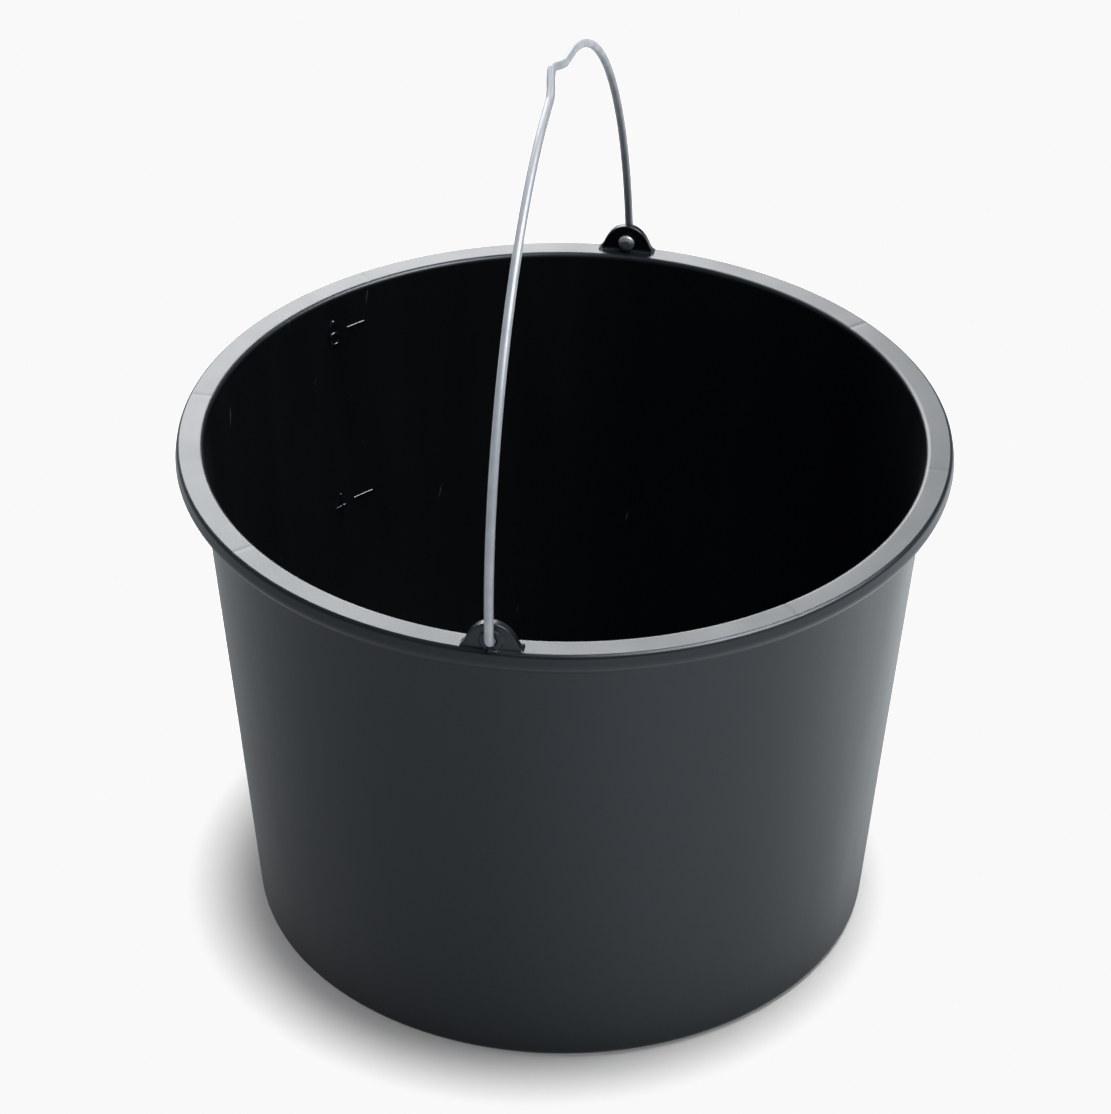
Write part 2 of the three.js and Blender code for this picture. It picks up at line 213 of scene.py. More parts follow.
class StageSettings(PropertyGroup):
    """The floor, the lights and the camera."""

    floor: colour("Floor", (0.85, 0.85, 0.85), "Colour of the floor")
    overhead: amount("Overhead light", 6.4, "Strength of the overhead light, in watts per square metre")
    fill: amount("Fill light", 0.5, "Strength of the shadowless light, in watts per square metre")
    overhead_tilt: degrees("Overhead tilt", 3.5, "Lean of the overhead light from straight above")
    overhead_azimuth: degrees("Overhead azimuth", 48.0, "Where it leans to, to the right of straight ahead")
    softness: degrees("Softness", 20.0, "Angle that the overhead light fills")
    back: amount("Back softbox", 14.0, "Radiance of the softbox behind the object")
    back_azimuth: degrees("Back softbox azimuth", -14.0, "Its place, to the right of straight ahead")
    back_elevation: degrees("Back softbox elevation", 31.5, "Its height above the horizon")
    back_width: length("Back softbox width", 1.9, "Width of the softbox behind the object")
    right: amount("Right softbox", 27.0, "Radiance of the softbox to the right")
    right_azimuth: degrees("Right softbox azimuth", 110.0, "Its place, to the right of straight ahead")
    right_elevation: degrees("Right softbox elevation", 56.0, "Its height above the horizon")
    right_width: length("Right softbox width", 1.7, "Width of the softbox to the right")
    box_height: length("Softbox height", 1.5, "Height of both softboxes")
    box_distance: length("Softbox distance", 2.6, "From the point that a softbox faces to the softbox")
    box_lift: length("Softbox lift", 0.15, "Height of the point that a softbox faces")
    world: amount("World", 0.16, "Radiance of the world")
    world_tint: colour("World tint", (0.96, 0.98, 1.0), "Colour of the world")
    floor_mean: amount("Reflected floor", 0.97, "Mean radiance of the floor in reflections")
    floor_side: amount("Reflected side", 0.42, "How much brighter it is to the right")
    floor_glow: amount("Reflected glow", 0.36, "How much brighter its brightest sector is")
    floor_tint: colour("Reflected tint", (0.91, 0.965, 1.0), "Colour of the floor in reflections")
    glow_azimuth: degrees("Glow azimuth", 20.0, "Middle of the brightest sector, counted to the right")
    glow_width: degrees("Glow width", 26.0, "Width of the brightest sector")
    floor_near: amount("Near share", 0.85, "Share of that radiance at the near radius")
    floor_away: amount("Far share", 1.38, "Share of that radiance at the far radius")
    near_radius: length("Near radius", 0.15, "Inside it the near share holds")
    far_radius: length("Far radius", 0.40, "Outside it the far share holds")
    shade: amount("Shade at the base", 0.65, "How much darker it is at the foot of the wall")
    shade_start: length("Shade start", 0.107, "Radius where that shade is deepest")
    shade_reach: length("Shade reach", 0.02, "How far that shade reaches")
    azimuth: degrees("Azimuth", 10.1, "Turn of the camera about +Z")
    elevation: degrees("Elevation", 33.99, "Camera above the horizon")
    roll: degrees("Roll", 0.42, "Tilt of the camera about its own axis")
    distance: length("Distance", 1.3259, "From the camera to the point it looks at")
    aim_height: length("Aim height", 0.13055, "Height of the point that the camera looks at")
    aim_side: length("Aim side", -0.00284, "That point's place to the right of the bucket's middle")
    lens: amount("Lens", 125.6, "Focal length of the camera in millimetres")


# ---- Shapes ----


def stacked(*columns):
    """Coordinates, spread to one shape, as points along a new last axis."""
    return np.stack(np.broadcast_arrays(*columns), axis=-1)


def grid_faces(rows, columns, close_rows=False, close_columns=False):
    """Four-cornered faces between neighbouring points of a grid, as an array of point numbers."""
    index = np.arange(rows * columns).reshape(rows, columns)
    if close_rows:
        index = np.vstack([index, index[:1]])
    if close_columns:
        index = np.hstack([index, index[:, :1]])
    corners = (index[:-1, :-1], index[1:, :-1], index[1:, 1:], index[:-1, 1:])
    return np.stack(corners, axis=-1).reshape(-1, 4)


def fan_faces(ring, pole):
    """Triangles from each step of a closed ring of point numbers to one pole."""
    following = np.roll(ring, -1)
    return np.stack([ring, following, np.full(len(ring), pole)], axis=-1)


def rounded_path(corners, arc_steps=8, stride=0.0065, guard=0.00012):
    """A path of straight runs whose corners (a, b, radius) are arcs tangent to both runs.

    Straight runs get points no further apart than the stride, and one close to each end, so that
    smooth shading stays inside the arcs.
    """
    points = [np.array(corners[0][:2])]
    for before, corner, after in zip(corners[:-2], corners[1:-1], corners[2:]):
        middle = np.array(corner[:2])
        back = np.array(before[:2]) - middle
        back /= np.linalg.norm(back)
        ahead = np.array(after[:2]) - middle
        ahead /= np.linalg.norm(ahead)
        half = math.acos(np.clip(back @ ahead, -1, 1)) / 2
        run = corner[2] / math.tan(half)
        start, end = middle + back * run, middle + ahead * run
        centre = middle + (back + ahead) / np.linalg.norm(back + ahead) * corner[2] / math.sin(half)
        first = math.atan2(*(start - centre)[::-1])
        turn = (math.atan2(*(end - centre)[::-1]) - first + math.pi) % (2 * math.pi) - math.pi
        angle = first + turn * np.linspace(0, 1, arc_steps + 1)
        points.append(centre + corner[2] * stacked(np.cos(angle), np.sin(angle)))
    points.append(np.array(corners[-1][:2]))
    path = [np.atleast_2d(points[0])]
    for arc in points[1:]:
        start, end = path[-1][-1], np.atleast_2d(arc)[0]
        gap = np.linalg.norm(end - start)
        inner = np.linspace(0, 1, max(int(gap / stride), 1) + 1)[1:-1]
        if gap > 4 * guard:
            inner = np.concatenate([[guard / gap], inner, [1 - guard / gap]])
        path.append(start + (end - start) * inner[:, None])
        path.append(np.atleast_2d(arc))
    return np.vstack(path)


def sweep(path, up, section, scale=None):
    """A section carried along a path, as a grid of points: one row for each step of the path.

    The section's first axis follows the cross product of the path's direction and up, and its
    second axis follows up.
    """
    direction = np.gradient(path, axis=0)
    direction /= np.linalg.norm(direction, axis=1, keepdims=True)
    across = np.cross(direction, up)
    across /= np.linalg.norm(across, axis=1, keepdims=True)
    upward = np.cross(across, direction)
    if scale is None:
        scale = np.ones(len(path))
    size = scale[:, None, None]
    return (
        path[:, None]
        + size * section[None, :, :1] * across[:, None]
        + size * section[None, :, 1:] * upward[:, None]
    )


def closed_tube(grid):
    """Points and faces of a swept grid whose two ends are closed with a fan to their own middle."""
    rows, columns = grid.shape[:2]
    total = rows * columns
    points = np.vstack([grid.reshape(-1, 3), grid[0].mean(0), grid[-1].mean(0)])
    first = np.arange(columns)
    last = first + total - columns
    sides = grid_faces(rows, columns, close_columns=True)
    return points, [sides, fan_faces(first, total), fan_faces(last[::-1], total + 1)]


def joined(parts):
    """Points and faces of several parts as one set."""
    points, face_sets, start = [], [], 0
    for part_points, part_faces in parts:
        points.append(part_points)
        face_sets.extend(faces + start for faces in part_faces)
        start += len(part_points)
    return np.vstack(points), face_sets


def make_piece(name, parts, finish, body, replaced=None):
    """Makes a smooth mesh object at the origin from parts of points and faces, bound to a body."""
    points, face_sets = joined(parts)
    mesh = bpy.data.meshes.new(name)
    faces = [face for faces in face_sets for face in faces.tolist()]
    mesh.from_pydata(points.tolist(), [], faces)
    mesh.polygons.foreach_set("use_smooth", np.ones(len(faces), dtype=bool))
    mesh.materials.append(bpy.data.materials[finish])
    mesh.validate()
    mesh.update()
    piece = bpy.data.objects.new(name, mesh)
    bpy.context.scene.collection.objects.link(piece)
    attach(piece, body)
    if replaced:
        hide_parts(replaced)


def make_moulding(name, parts, finish="satin_black_plastic", replaced=None):
    """Makes a piece of the black moulding."""
    make_piece(name, parts, finish, "bucket", replaced)


def superellipse(half_width, half_height, power, steps):
    """A closed section: an ellipse whose sides are fuller as the power rises above 2."""
    angle = np.linspace(0, 2 * math.pi, steps, endpoint=False)
    cos, sin = np.cos(angle), np.sin(angle)
    across = half_width * np.sign(cos) * np.abs(cos) ** (2 / power)
    upward = half_height * np.sign(sin) * np.abs(sin) ** (2 / power)
    return stacked(across, upward)


def outer_wall(z):
    """Outer radius of the wall at a height: a straight taper from the base to the neck."""
    sizes = bpy.context.scene.moulding
    return sizes.base + (sizes.neck - sizes.base) * z / (sizes.height - sizes.plate)


def inner_wall(z):
    """Inner radius of the wall at a height."""
    return outer_wall(z) - bpy.context.scene.moulding.wall


def shell_profile():
    """Radius and height along the moulding's section, from under the floor, up the outside, over the
    rim and down the inside to the floor.

    Each corner is a radius, a height and the radius of its rounding. Where a rounding would cut a
    size back, its corner stands a little past that size.
    """
    sizes = bpy.context.scene.moulding
    pole = 0.0004
    gate = 0.0051
    gate_mouth = 0.0011
    gate_flat = 0.0005
    gate_top = sizes.foot - 0.0005
    foot_inner = sizes.base - sizes.foot_width
    under_plate = sizes.height - sizes.plate
    curtain_foot = sizes.height - sizes.curtain
    curtain_inner = sizes.band - sizes.curtain_wall
    widest = sizes.height - sizes.widest
    top_inner = inner_wall(sizes.height)
    floor_top = sizes.foot + sizes.floor
    under_floor = [
        (pole, sizes.foot, 0),
        (gate - gate_mouth, sizes.foot, 0.0006),
        (gate - gate_flat, gate_top, 0.0004),
        (gate + gate_flat, gate_top, 0.0004),
        (gate + gate_mouth, sizes.foot, 0.0006),
        (foot_inner - sizes.foot, sizes.foot, 0.0008),
        (foot_inner, 0, 0.0006),
        (sizes.base, 0, 0.0026),
    ]
    curtain = [
        (sizes.neck, under_plate, 0.0009),
        (curtain_inner + 0.0006, under_plate, 0.0007),
        (sizes.rim - sizes.curtain_wall, widest, 0.006),
        (curtain_inner + 0.0004, curtain_foot, 0.0003),
        (sizes.band - 0.0001, curtain_foot, 0.0006),
        (sizes.rim + 0.0001, widest - 0.0002, 0.0035),
        (sizes.band + 0.0011, sizes.height - 0.0006, 0.0016),
    ]
    top_and_inside = [
        (sizes.band + 0.0001, sizes.height, 0.0007),
        (top_inner, sizes.height, sizes.mouth - top_inner),
        (inner_wall(floor_top), floor_top, 0.004),
        (pole, floor_top, 0),
    ]
    return rounded_path(under_floor + curtain + top_and_inside)


def rib_azimuths():
    """Azimuths of the ribs under the rim, evenly spaced from the ear at +Y."""
    count = bpy.context.scene.ribs.count
    return math.pi / 2 + 2 * math.pi * np.arange(count) / count


def shell_azimuths():
    """Even steps round the bucket, with closer ones across each sink above a rib."""
    even = np.linspace(0, 2 * math.pi, bpy.context.scene.moulding.steps, endpoint=False)
    reach = 3 * bpy.context.scene.ribs.sink_width / bpy.context.scene.moulding.band
    close = rib_azimuths()[:, None] + reach * np.linspace(-1, 1, 9)
    both = np.concatenate([even, (close % (2 * math.pi)).ravel()])
    both.sort()
    gaps = np.diff(np.append(both, both[0] + 2 * math.pi))
    smallest = 0.12 * reach
    return both[gaps > smallest]


def shell_surface():
    """The profile turned about the Z axis, with three small departures from a perfect turning.

    The flat top of the rim sinks by a bell curve above each rib, it waves a little with two slow
    sines as it cooled, and the wall draws in by a slow sine between its top and its base.
    """
    sizes = bpy.context.scene.moulding
    ribs = bpy.context.scene.ribs
    sink_fade = 0.0005
    wave_fade = 0.02
    wave, ripple = 0.00006, 0.00003
    draw_in = 0.00012
    profile = shell_profile()
    azimuth = shell_azimuths()
    radius, height = profile[:, :1], profile[:, 1:]
    apart = (azimuth[:, None] - rib_azimuths() + math.pi) % (2 * math.pi) - math.pi
    bells = np.exp(-((apart * sizes.band / ribs.sink_width) ** 2)).sum(1)
    on_top = np.clip((height - (sizes.height - sink_fade)) / sink_fade, 0, 1)
    height = height - on_top * ribs.sink * bells
    waves = wave * np.sin(3 * azimuth + 0.8) + ripple * np.sin(7 * azimuth + 2.1)
    near_rim = np.clip((height - (sizes.height - wave_fade)) / wave_fade, 0, 1)
    height = height + near_rim * waves
    belly = np.sin(math.pi * np.clip(height / sizes.height, 0, 1))
    radius = radius + belly * draw_in * (np.sin(2 * azimuth + 0.4) - 1)
    return stacked(radius * np.cos(azimuth), radius * np.sin(azimuth), height)


def shell_mesh():
    """Points and faces of the wall, floor and rim, closed at the middle of the floor."""
    return closed_tube(shell_surface()[::-1])


def rounded_block(half_x, half_y, bottom, top, rounding, power=6.0, steps=32):
    """A small upright block with rounded edges: superellipse sections that draw in by a quarter
    circle at its top, and stay full at its buried bottom."""
    section = superellipse(half_x, half_y, power, steps)
    turn = np.linspace(0, math.pi / 2, 6)
    inset = np.concatenate([[0], rounding * (1 - np.cos(turn))])
    level = np.concatenate([[bottom], top - rounding + rounding * np.sin(turn)])
    shrink = 1 - inset[:, None, None] / np.array([half_x, half_y])
    flat = section[None] * shrink
    return stacked(flat[..., 0], flat[..., 1], level[:, None])


def turned(points, angle):
    """Points turned about the Z axis."""
    cos, sin = math.cos(angle), math.sin(angle)
    x, y, z = points[..., 0], points[..., 1], points[..., 2]
    return stacked(x * cos - y * sin, x * sin + y * cos, z)


def rim_rib_parts():
    """The ribs in the channel under the rim: thin upright blocks between the wall and the curtain."""
    sizes = bpy.context.scene.moulding
    ribs = bpy.context.scene.ribs
    rounding = 0.0003
    inner = sizes.neck - sizes.wall / 2
    outer = sizes.band - sizes.curtain_wall / 2
    top = sizes.height - sizes.plate / 2
    foot = sizes.height - sizes.plate - ribs.depth
    block = rounded_block((outer - inner) / 2, ribs.thickness / 2, 0, top - foot, rounding)
    block[..., 2] = top - block[..., 2]
    block[..., 0] += (inner + outer) / 2
    return [closed_tube(turned(block, angle)) for angle in rib_azimuths()]


def hollow_corner(height, radius):
    """How far a hollow quarter circle stands out at a height above the surface it springs from."""
    below = radius - np.clip(height, 0, radius)
    return radius - np.sqrt(np.maximum(radius**2 - below**2, 0))


def ear_outline(ear):
    """Right half of an ear's outline, from the middle of its buried root round its foot to its top.

    Each point is a distance to the right and a height above the rim. A round crown stands on short
    upright sides, and the sides spread towards the foot by a falling exponential.
    """
    root = 0.001
    spread = 0.003
    crown_height = ear.height - ear.crown
    side = np.linspace(0, crown_height, 24)[:-1]
    turn = np.linspace(0, math.pi / 2, 48)
    height = np.concatenate([side, crown_height + ear.crown * np.sin(turn)])
    in_crown = np.clip(height - crown_height, 0, ear.crown)
    foot = (ear.half_width - ear.crown) * np.exp(-height / spread)
    width = np.sqrt(ear.crown**2 - in_crown**2) + foot
    bottom = np.linspace(0, ear.half_width, 16)
    width = np.concatenate([bottom, width])
    height = np.concatenate([np.full(len(bottom), -root), height])
    return width, height


def ear_reach(angle, ear, pivot_height):
    """Distance from the pivot to an ear's outline in each direction."""
    width, height = ear_outline(ear)
    direction = np.arctan2(height - pivot_height, width)
    distance = np.hypot(width, height - pivot_height)
    folded = np.arcsin(np.sin(angle))
    return np.interp(folded, direction, distance)


def ear_section(ear):
    """One section of an ear as rows of numbers: a distance from the hole's middle, a distance back
    from the outline, the share of the second against the first, and the depth y.

    It starts in the hole, rounds its lip, crosses the boss and the outer face, rounds the edge,
    and comes back along the inner face into the hole.
    """
    outer = ear.inner + ear.thickness
    boss_top = outer + ear.boss_height
    lip = 0.0003
    soft = 0.0005
    quarter = np.linspace(0, math.pi / 2, 6)
    fall = np.linspace(0, 1, 7)
    across = 1 - (1 - np.linspace(0, 1, 26)[1:]) ** 1.7
    sin, cos = np.sin(quarter), np.cos(quarter)
    step = ear.boss_height * fall**2 * (3 - 2 * fall)
    edge = (ear.thickness - 2 * ear.edge) * np.array([0.25, 0.5, 0.75])
    return np.vstack(
        [
            stacked(ear.hole, 0, 0, ear.inner + ear.thickness * np.array([0.3, 0.6])),
            stacked(ear.hole + lip * (1 - cos), 0, 0, boss_top - lip * (1 - sin)),
            stacked(ear.boss - 0.4 * soft + soft * fall, 0, 0, boss_top - step),
            stacked(ear.boss + soft, ear.edge, across, outer),
            stacked(0, ear.edge * (1 - sin[1:]), 1, outer - ear.edge * (1 - cos[1:])),
            stacked(0, 0, 1, outer - ear.edge - edge),
            stacked(0, ear.edge * (1 - cos[:-1]), 1, ear.inner + ear.edge * (1 - sin[:-1])),
            stacked(ear.hole + 2 * lip, ear.edge, across[::-1], ear.inner),
            stacked(ear.hole + lip * (1 - cos[::-1]), 0, 0, ear.inner + lip * (1 - sin[::-1])),
        ]
    )


def ear_surface():
    """One ear as a closed ring of sections round its hole, drawn at +Y.

    Near the rim both faces flare out by a hollow quarter circle, and the ear bends with the rim.
    """
    ear = bpy.context.scene.ear
    rim_top = bpy.context.scene.moulding.height
    angle = np.linspace(0, 2 * math.pi, 224, endpoint=False)
    reach = ear_reach(angle, ear, PIVOT_Z - rim_top)[:, None]
    from_hole, from_outline, share, depth = ear_section(ear).T
    distance = (1 - share) * from_hole + share * (reach - from_outline)
    x = distance * np.cos(angle)[:, None]
    height = distance * np.sin(angle)[:, None] + PIVOT_Z - rim_top
    middle = ear.inner + ear.thickness / 2
    side = np.clip((depth - middle) / (ear.thickness / 2 - ear.edge), -1, 1)
    y = depth + side * hollow_corner(height, ear.flare) - x**2 / (2 * middle)
    return stacked(x, y, height + rim_top)


def gusset_surface(side):
    """A small fin at one end of an ear, towards the mouth. Its round top slopes down away from the
    ear, and it is drawn at +Y."""
    ear = bpy.context.scene.ear
    rim_top = bpy.context.scene.moulding.height
    half_width = 0.00065
    half_length = 0.0015
    top = 0.0013
    root = 0.001
    rounding = 0.0006
    slope = 0.5
    overlap = 0.0008
    inset = 0.0010
    block = rounded_block(half_width, half_length, -root, top, rounding, power=2.6)
    away = (half_length - block[..., 1]) / (2 * half_length)
    block[..., 2] = -root + (block[..., 2] + root) * (1 - slope * away)
    block[..., 1] += ear.inner - half_length + overlap
    block[..., 0] += side * (ear.half_width - inset)
    block[..., 2] += rim_top
    return block[::-1]


def ear_parts(angle):
    """Points and faces of an ear and its two gussets, turned about the Z axis."""
    grid = turned(ear_surface(), angle)
    faces = grid_faces(*grid.shape[:2], close_rows=True, close_columns=True)
    parts = [(grid.reshape(-1, 3), [faces])]
    for side in (-1, 1):
        parts.append(closed_tube(turned(gusset_surface(side), angle)))
    return parts


def six_path(width, height):
    """A digit 6 in a plane: an elliptic back that comes down on the left and closes as a bowl."""
    radius = width / 2
    middle = radius - height / 2
    back = np.linspace(math.radians(48), math.pi, 28)
    bowl = np.linspace(math.pi, 3 * math.pi, 56)[1:]
    rise = height / 2 - middle
    upper = stacked(radius * np.cos(back), middle + rise * np.sin(back))
    lower = stacked(radius * np.cos(bowl), middle + radius * np.sin(bowl))
    return np.vstack([upper, lower])


def straight(start, end, steps=20):
    """Evenly spaced points from start to end."""
    return np.linspace(start, end, steps)


def four_paths(width, height):
    """A digit 4 in a plane: a stem, a crossbar and a slanting stroke from its foot to the top."""
    overhang = 0.0022
    bar_rise = 0.0036
    stem = width / 2 - overhang
    bar = -height / 2 + bar_rise
    top = height / 2
    return [
        straight((stem, -top), (stem, top)),
        straight((-width / 2, bar), (width / 2, bar)),
        straight((-width / 2, bar), (stem, top)),
    ]


def stroke_on_wall(path, azimuth, z):
    """A raised stroke with round ends that follows a flat path laid on the inside of the wall.

    Across the path it is an ellipse, half of it sunk in the wall. Its section shrinks to nothing
    over the last half width at each end, as a quarter circle does.
    """
    scale = bpy.context.scene.scale_marks
    half = scale.stroke / 2
    draft = 0.08
    thinnest = 0.02
    height = z + path[:, 1]
    radius = inner_wall(height)
    turn = azimuth - path[:, 0] / radius
    places = stacked(radius * np.cos(turn), radius * np.sin(turn), height)
    inward = stacked(-np.cos(turn), -np.sin(turn), draft)
    along = np.concatenate([[0], np.cumsum(np.linalg.norm(np.diff(places, axis=0), axis=1))])
    from_end = np.minimum(along, along[-1] - along)
    shrink = np.sqrt(1 - (1 - np.clip(from_end / half, thinnest, 1)) ** 2)
    section = superellipse(half, scale.relief, 2.0, 28)
    return closed_tube(sweep(places, inward, section, shrink))


def dense_ends(path, half):
    """The path with more points near both ends, where a stroke's round end is."""
    extra = np.array([0.03, 0.1, 0.2, 0.35, 0.55, 0.8, 1.0])[:, None] * half
    first = (path[1] - path[0]) / np.linalg.norm(path[1] - path[0])
    last = (path[-2] - path[-1]) / np.linalg.norm(path[-2] - path[-1])
    from_first = np.linalg.norm(path - path[0], axis=1)
    from_last = np.linalg.norm(path - path[-1], axis=1)
    inner = path[(from_first > half) & (from_last > half)]
    opening = path[0] + first * extra
    closing = path[-1] + last * extra[::-1]
    return np.vstack([path[:1], opening, inner, closing, path[-1:]])


def mark_parts(paths, digit_width, tick_length, azimuth, below_rim):
    """The strokes of a tick and of the digit on its left, as seen from inside the bucket."""
    scale = bpy.context.scene.scale_marks
    z = bpy.context.scene.moulding.height - below_rim
    half = scale.stroke / 2
    tick = straight((-tick_length / 2, 0), (tick_length / 2, 0))
    step = tick_length / 2 + scale.gap + digit_width / 2
    parts = [stroke_on_wall(dense_ends(tick, half), azimuth, z)]
    for path in paths:
        parts.append(stroke_on_wall(dense_ends(path - (step, 0), half), azimuth, z))
    return parts


def scale_parts():
    """Both marks of the raised scale."""
    scale = bpy.context.scene.scale_marks
    six = [six_path(scale.six_width - scale.stroke, scale.digit_height - scale.stroke)]
    four = four_paths(scale.four_width - scale.stroke, scale.digit_height - scale.stroke)
    upper = mark_parts(six, scale.six_width, scale.upper_tick, scale.upper_azimuth, scale.upper)
    lower = mark_parts(four, scale.four_width, scale.lower_tick, scale.lower_azimuth, scale.lower)
    return upper + lower


def half_bail_path():
    """Half of the wire's middle line in the bail's own plane, from the head at +Y to the middle.

    It runs straight through the ear, turns up in a quarter circle, follows a superellipse, and ends
    in the straight flank and round top of the hook notch.
    """
    bail = bpy.context.scene.bail
    ear = bpy.context.scene.ear
    quarter = np.linspace(0, math.pi / 2, 24)
    arch_start = bail.bend + 0.003
    shoulder_steps = 24
    shoulder_rounding = 0.0035
    top_rounding = 0.0022
    elbow_start = bail.leg - bail.bend
    pin = straight((ear.inner - bail.head_gap - bail.head_thickness / 2, 0), (elbow_start, 0), 12)
    elbow_out = bail.leg - bail.bend * (1 - np.sin(quarter))
    elbow = stacked(elbow_out, bail.bend * (1 - np.cos(quarter)))
    rise = bail.arch + bail.drop
    power = 2 / bail.exponent
    low = math.asin(((arch_start + bail.drop) / rise) ** (1 / power))
    high = math.acos((bail.notch_half / bail.leg) ** (1 / power))
    angle = np.linspace(low, high, 260)
    arch = stacked(bail.leg * np.cos(angle) ** power, rise * np.sin(angle) ** power - bail.drop)
    shoulder = arch[-1, 1]
    notch = rounded_path(
        [
            (*arch[-shoulder_steps], 0),
            (bail.notch_half, shoulder, shoulder_rounding),
            (0, shoulder + bail.notch_rise, top_rounding),
            (-bail.notch_half, shoulder, 0),
        ],
        arc_steps=14,
        stride=0.0008,
    )
    notch = notch[notch[:, 0] > -1e-6]
    return np.vstack([pin[:-1], elbow, arch[:-shoulder_steps], notch[1:]])


def in_bail_plane(flat):
    """Places points (y, z) of the bail's plane in the frame, leaning about the pivot.

    Inside the notch they also leave the plane along a smooth step, furthest at its top.
    """
    bail = bpy.context.scene.bail
    sin, cos = math.sin(bail.lean), math.cos(bail.lean)
    inward = np.clip(1 - np.abs(flat[:, 0]) / bail.notch_half, 0, 1) * (flat[:, 1] > bail.arch / 2)
    aside = bail.notch_side * inward**2 * (3 - 2 * inward)
    height = PIVOT_Z + flat[:, 1] * cos - aside * sin
    return stacked(flat[:, 1] * sin + aside * cos, flat[:, 0], height)


def bail_mesh():
    """Points and faces of the wire: a circle carried along the whole middle line."""
    half = half_bail_path()
    steps = np.linalg.norm(np.diff(half, axis=0), axis=1)
    half = half[np.append(True, steps > 1e-5)]
    mirrored = half[::-1] * (-1, 1)
    path = in_bail_plane(np.vstack([half, mirrored[1:]]))
    lean = bpy.context.scene.bail.lean
    wire = bpy.context.scene.bail.wire
    section = superellipse(wire, wire, 2, 28)
    return closed_tube(sweep(path, np.array([math.cos(lean), 0, -math.sin(lean)]), section))


def head_mesh(side):
    """A domed head: a low dome turned about the pivot, with a rounded rim and a flat back."""
    bail = bpy.context.scene.bail
    face = bpy.context.scene.ear.inner - bail.head_gap
    pole = 0.0002
    rim_depth = bail.head_thickness * 0.55
    crown = bail.head * 0.5
    corners = [
        (pole, 0, 0),
        (bail.head, 0, 0.0003),
        (bail.head, rim_depth, 0.0011),
        (crown, bail.head_thickness, 0.0016),
        (pole, bail.head_thickness, 0),
    ]
    profile = rounded_path(corners, stride=0.0005, guard=0.00004)
    angle = np.linspace(0, 2 * math.pi, 40, endpoint=False)
    out, depth = profile[:, :1], profile[:, 1:]
    height = PIVOT_Z + side * out * np.sin(angle)
    return closed_tube(stacked(out * np.cos(angle), side * (face - depth), height)[::-1])


# ---- Materials ----


def fill(tree, made, inputs):
    """Links each input of a node to a socket, or gives it a plain value."""
    for key, value in inputs.items():
        if isinstance(value, bpy.types.NodeSocket):
            tree.links.new(value, made.inputs[key])
        else:
            made.inputs[key].default_value = value


def node(tree, kind, inputs, **settings):
    """Adds a shader node, sets its settings and fills its inputs."""
    made = tree.nodes.new("ShaderNode" + kind)
    for key, value in settings.items():
        setattr(made, key, value)
    fill(tree, made, inputs)
    return made


def object_place(tree):
    """The place of a point in the frame's own axes."""
    return node(tree, "TexCoord", {}).outputs["Object"]


def maths(tree, operation, first, second=0.0, third=0.0, clamp=False):
    """Adds a Math node and returns its output."""
    made = node(tree, "Math", {0: first, 1: second, 2: third}, operation=operation, use_clamp=clamp)
    return made.outputs[0]


def product(tree, first, *others):
    """Adds Math nodes that multiply values one after another, and returns the last output."""
    for other in others:
        first = maths(tree, "MULTIPLY", first, other)
    return first


def blended(tree, share, first, second):
    """Adds a colour Mix node and returns its output."""
    first_colour, second_colour, result = 6, 7, 2
    inputs = {"Factor": share}
    for key, value in ((first_colour, first), (second_colour, second)):
        inputs[key] = value if isinstance(value, bpy.types.NodeSocket) else (*value, 1)
    return node(tree, "Mix", inputs, data_type="RGBA").outputs[result]


def group(name, inputs, outputs):
    """Makes a shader node group with named float inputs and outputs."""
    tree = bpy.data.node_groups.new(name, "ShaderNodeTree")
    for way, keys in (("INPUT", inputs), ("OUTPUT", outputs)):
        for key in keys:
            tree.interface.new_socket(key, in_out=way, socket_type="NodeSocketFloat")
    return tree, tree.nodes.new("NodeGroupInput").outputs, tree.nodes.new("NodeGroupOutput").inputs


def noise(tree, vector, scale, detail=2.0, roughness=0.5):
    """Adds a Noise node and returns its value."""
    inputs = {"Vector": vector, "Scale": scale, "Detail": detail, "Roughness": roughness}
    return node(tree, "TexNoise", inputs).outputs[0]


def above(tree, value, level, contrast):
    """How far a value stands above a level, times a contrast, kept between 0 and 1."""
    return maths(tree, "MULTIPLY", maths(tree, "SUBTRACT", value, level), contrast, clamp=True)


def moulded_skin_group():
    """Fine grain as a height, and slow flow marks that run up the wall as a value from 0 to 1."""
    tree, given, made = group("moulded_skin", ["Grain Scale"], ["Height", "Flow"])
    stretch = 0.16
    flow_scale = 34.0
    contrast, shift = 2.4, -0.7
    place = object_place(tree)
    grain = noise(tree, place, given["Grain Scale"], 3.0, 0.6)
    stretched = node(tree, "Mapping", {"Vector": place, "Scale": (1.0, 1.0, stretch)}).outputs[0]
    slow = noise(tree, stretched, flow_scale, 4.0, 0.55)
    tree.links.new(grain, made["Height"])
    tree.links.new(maths(tree, "MULTIPLY_ADD", slow, contrast, shift, clamp=True), made["Flow"])


